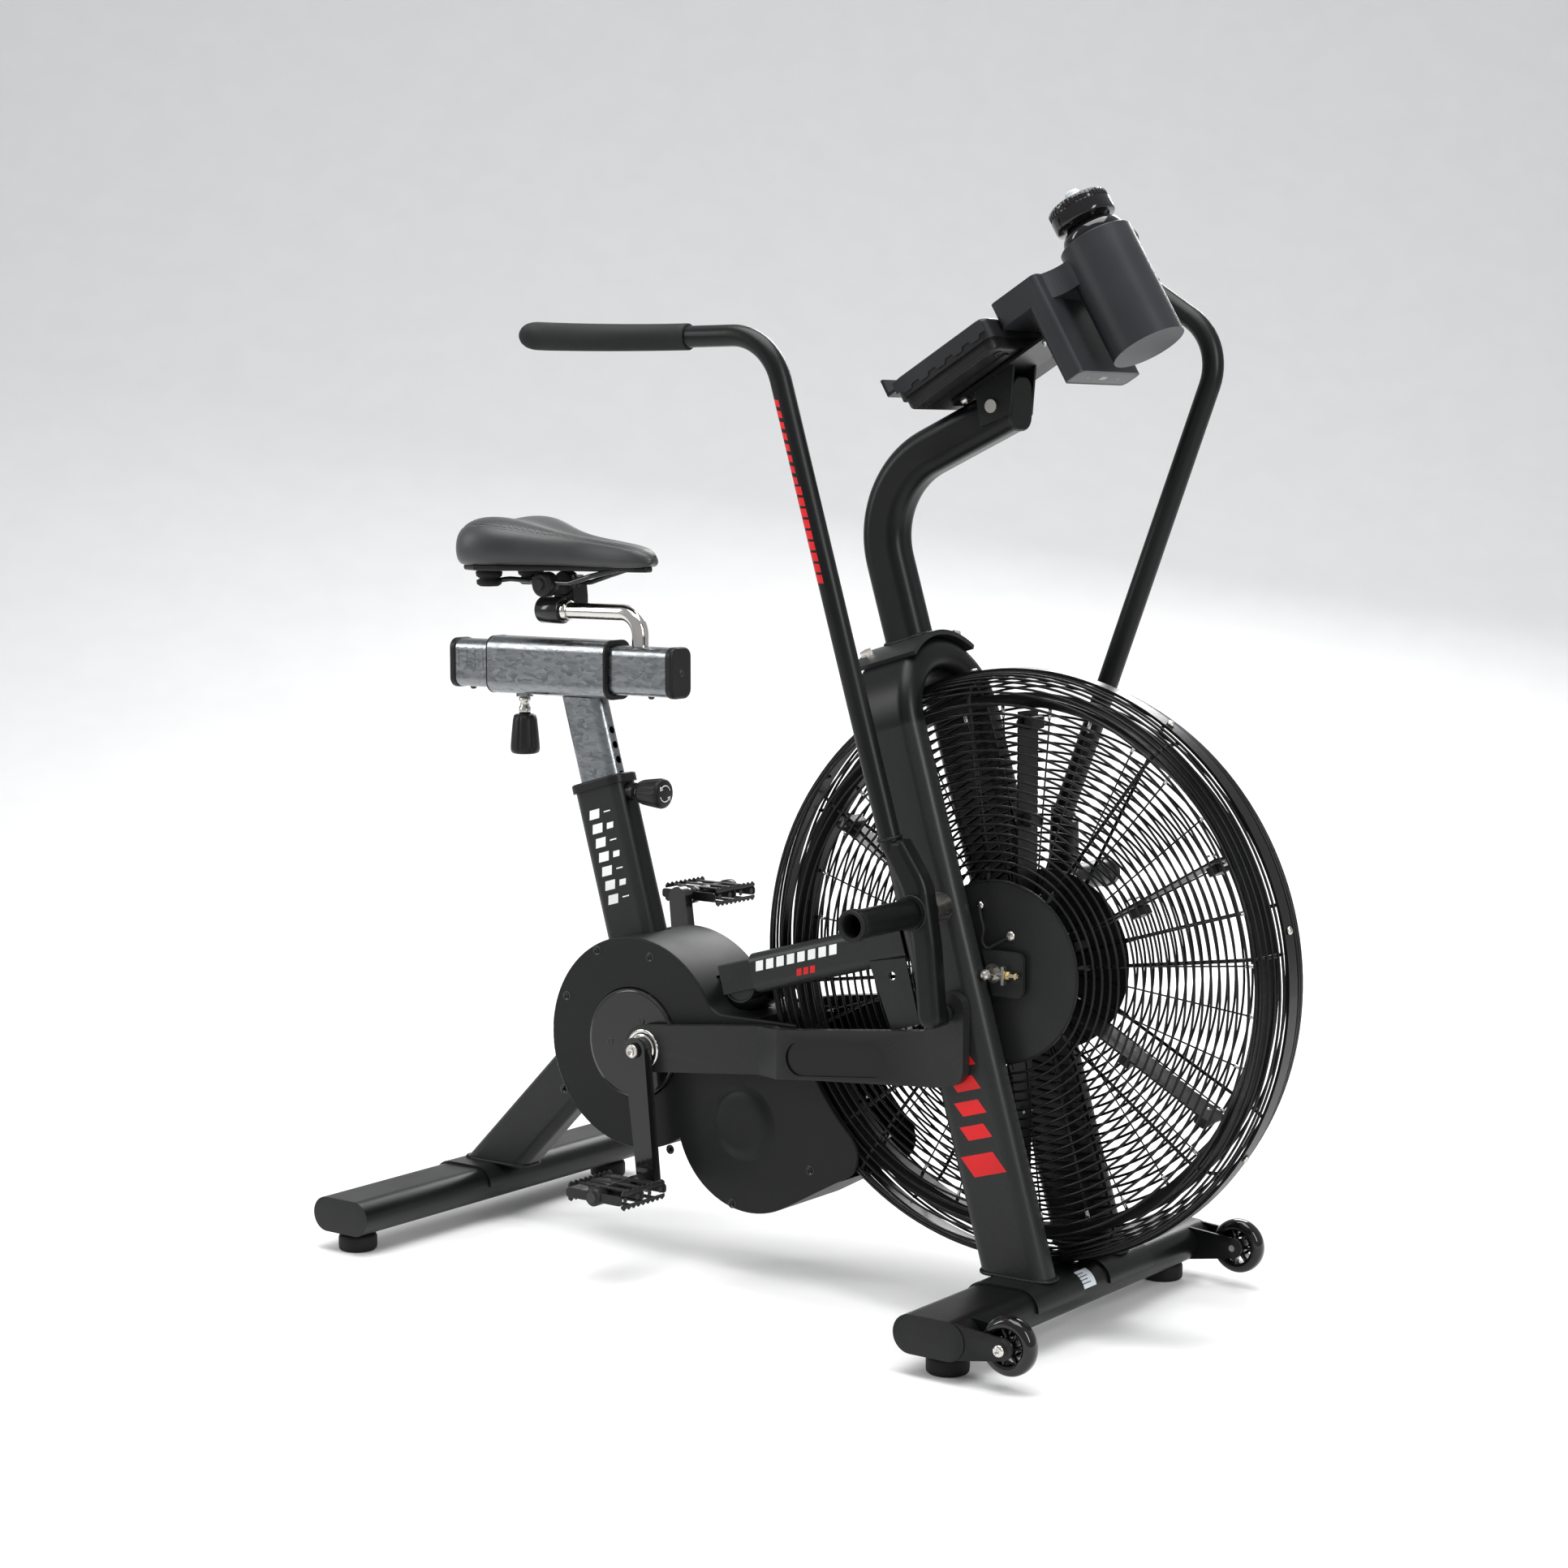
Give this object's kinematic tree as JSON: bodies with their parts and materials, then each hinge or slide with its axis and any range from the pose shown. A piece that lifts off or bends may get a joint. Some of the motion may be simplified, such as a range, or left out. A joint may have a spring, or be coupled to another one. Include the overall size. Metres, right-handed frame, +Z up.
{
  "type": "air bike",
  "caption": "Upright exercise bike with a caged front fan, pedals linked to swinging handle arms, a sliding saddle, a tilted console and a bottle holder.",
  "frame": {"origin": "on the floor, at the middle of the machine's length and width", "axes": "+X forwards, from the saddle to the fan; +Y to the rider's left; +Z up"},
  "size_m": [1.2704, 0.672, 1.3411],
  "materials": {
    "frame_black": "satin black powder coat",
    "rubber": "moulded black rubber",
    "cover_black": "lightly grained black moulding",
    "cage_black": "black dip-coated wire",
    "rotor_black": "semi-gloss black coat",
    "zinc": "bright zinc plate with a fine spangle",
    "chrome": "polished chrome",
    "fastener_steel": "zinc-plated fasteners",
    "link_black": "satin black powder coat with a recessed panel",
    "crank_black": "semi-gloss black enamel",
    "pedal_black": "black nylon",
    "cap_black": "moulded black plastic",
    "saddle_vinyl": "perforated vinyl, grey stitching",
    "grip_foam": "closed-cell foam",
    "wheel_gloss": "glossy black urethane",
    "console_plastic": "fine-textured dark housing",
    "holder_plastic": "satin dark grey moulding",
    "bottle_black": "glossy black bottle",
    "valve_clear": "translucent soft plastic",
    "belt_rubber": "ribbed drive belt",
    "pulley_metal": "cast and turned",
    "bracket_black": "black coat on folded steel"
  },
  "bodies": {
    "frame": {"front_stabiliser": "frame_black", "rear_stabiliser": "frame_black", "rubber_feet": "rubber", "right_upright": "frame_black", "left_upright": "frame_black", "crown": "frame_black", "mast": "frame_black", "seat_tube": "frame_black", "rear_strut": "frame_black", "main_beam": "frame_black", "side_tubes": "frame_black", "bottom_bracket": "frame_black", "fan_brackets": "bracket_black", "right_cage": "cage_black", "left_cage": "cage_black", "cage_band": "cage_black", "fan_side_discs": "bracket_black", "right_belt_cover": "cover_black", "left_belt_cover": "cover_black", "belt_guard": "bracket_black", "belts": "belt_rubber", "console_bracket": "bracket_black", "console_rear": "console_plastic", "console_front": "console_plastic", "device_ledge": "console_plastic", "bottle_holder": "holder_plastic", "frame_fasteners": "fastener_steel", "seat_collar": "cap_black"},
    "crank": {"crank_axle": "crank_black", "crank_pulley": "pulley_metal", "right_crank_arm": "crank_black", "left_crank_arm": "crank_black"},
    "right_pedal": {"right_pedal": "pedal_black"},
    "left_pedal": {"left_pedal": "pedal_black"},
    "right_link": {"right_link": "link_black"},
    "left_link": {"left_link": "link_black"},
    "right_arm": {"right_arm": "frame_black", "right_grip": "grip_foam"},
    "left_arm": {"left_arm": "frame_black", "left_grip": "grip_foam"},
    "jackshaft": {"jackshaft": "pulley_metal"},
    "rotor": {"rotor_wheel": "rotor_black", "fan_pulley": "pulley_metal", "rotor_paddles": "rotor_black"},
    "seat": {"seat_post": "zinc", "slider_sleeve": "zinc"},
    "slider": {"slider_tube": "zinc", "slider_caps": "cap_black", "saddle_post": "chrome", "saddle_clamp": "bracket_black", "saddle": "saddle_vinyl"},
    "right_wheel": {"right_wheel": "wheel_gloss"},
    "left_wheel": {"left_wheel": "wheel_gloss"},
    "height_knob": {"height_knob": "cap_black"},
    "slider_knob": {"slider_knob": "cap_black"},
    "bottle": {"bottle": "bottle_black", "bottle_lid": "bottle_black"},
    "bottle_valve": {"bottle_valve": "valve_clear"},
    "mode_key": {"mode_key": "rubber"},
    "reset_key": {"reset_key": "rubber"}
  },
  "joints": [
    {"name": "crank_turn", "type": "hinge", "parent": "frame", "child": "crank", "pos_m": [-0.27225, 0, 0.28], "axis": [0, 1, 0], "continuous": true},
    {"name": "jackshaft_turn", "type": "hinge", "parent": "frame", "child": "jackshaft", "pos_m": [-0.09425, 0, 0.198], "axis": [0, 1, 0], "continuous": true},
    {"name": "rotor_turn", "type": "hinge", "parent": "frame", "child": "rotor", "pos_m": [0.27875, 0, 0.428], "axis": [0, 1, 0], "continuous": true},
    {"name": "right_link_turn", "type": "hinge", "parent": "crank", "child": "right_link", "pos_m": [-0.23825, -0.08, 0.28], "axis": [0, 1, 0], "continuous": true},
    {"name": "left_link_turn", "type": "hinge", "parent": "crank", "child": "left_link", "pos_m": [-0.30625, 0.08, 0.28], "axis": [0, 1, 0], "continuous": true},
    {"name": "right_pedal_turn", "type": "hinge", "parent": "crank", "child": "right_pedal", "pos_m": [-0.22025, -0.16, 0.113], "axis": [0, 1, 0], "continuous": true},
    {"name": "left_pedal_turn", "type": "hinge", "parent": "crank", "child": "left_pedal", "pos_m": [-0.32425, 0.16, 0.447], "axis": [0, 1, 0], "continuous": true},
    {"name": "right_arm_swing", "type": "hinge", "parent": "frame", "child": "right_arm", "pos_m": [0.22575, -0.15, 0.506], "axis": [0, 1, 0], "range_deg": [0, 33]},
    {"name": "left_arm_swing", "type": "hinge", "parent": "frame", "child": "left_arm", "pos_m": [0.22575, 0.15, 0.506], "axis": [0, 1, 0], "range_deg": [-33, 0]},
    {"name": "seat_height", "type": "slide", "parent": "frame", "child": "seat", "axis": [-0.274, 0, 0.9617], "range_m": [-0.095, 0.12]},
    {"name": "slider_travel", "type": "slide", "parent": "seat", "child": "slider", "axis": [1, 0, 0], "range_m": [-0.025, 0.055]},
    {"name": "right_wheel_turn", "type": "hinge", "parent": "frame", "child": "right_wheel", "pos_m": [0.43075, -0.268, 0.052], "axis": [0, 1, 0], "continuous": true},
    {"name": "left_wheel_turn", "type": "hinge", "parent": "frame", "child": "left_wheel", "pos_m": [0.43075, 0.268, 0.052], "axis": [0, 1, 0], "continuous": true},
    {"name": "height_knob_pull", "type": "slide", "parent": "frame", "child": "height_knob", "axis": [1, 0, 0], "range_m": [0, 0.008], "stiffness_N_per_m": 500, "springref_m": -0.004},
    {"name": "slider_knob_pull", "type": "slide", "parent": "seat", "child": "slider_knob", "axis": [0, 0, -1], "range_m": [0, 0.008], "stiffness_N_per_m": 900, "springref_m": -0.004},
    {"name": "bottle_lift", "type": "slide", "parent": "frame", "child": "bottle", "axis": [-0.5075, 0, 0.8616], "range_m": [0, 0.18]},
    {"name": "valve_pull", "type": "slide", "parent": "bottle", "child": "bottle_valve", "axis": [-0.5075, 0, 0.8616], "range_m": [0, 0.004]},
    {"name": "mode_key_press", "type": "slide", "parent": "frame", "child": "mode_key", "axis": [0.5075, 0, -0.8616], "range_m": [0, 0.0012], "stiffness_N_per_m": 400, "springref_m": -0.0005},
    {"name": "reset_key_press", "type": "slide", "parent": "frame", "child": "reset_key", "axis": [0.5075, 0, -0.8616], "range_m": [0, 0.0012], "stiffness_N_per_m": 400, "springref_m": -0.0005}
  ],
  "couplings": [
    {"joint": "jackshaft_turn", "follows": "crank_turn", "ratio": 3},
    {"joint": "rotor_turn", "follows": "crank_turn", "ratio": 6},
    {"joint": "right_link_turn", "follows": "crank_turn", "ratio": -1},
    {"joint": "left_link_turn", "follows": "crank_turn", "ratio": -1},
    {"joint": "left_arm_swing", "follows": "right_arm_swing", "ratio": -1}
  ]
}
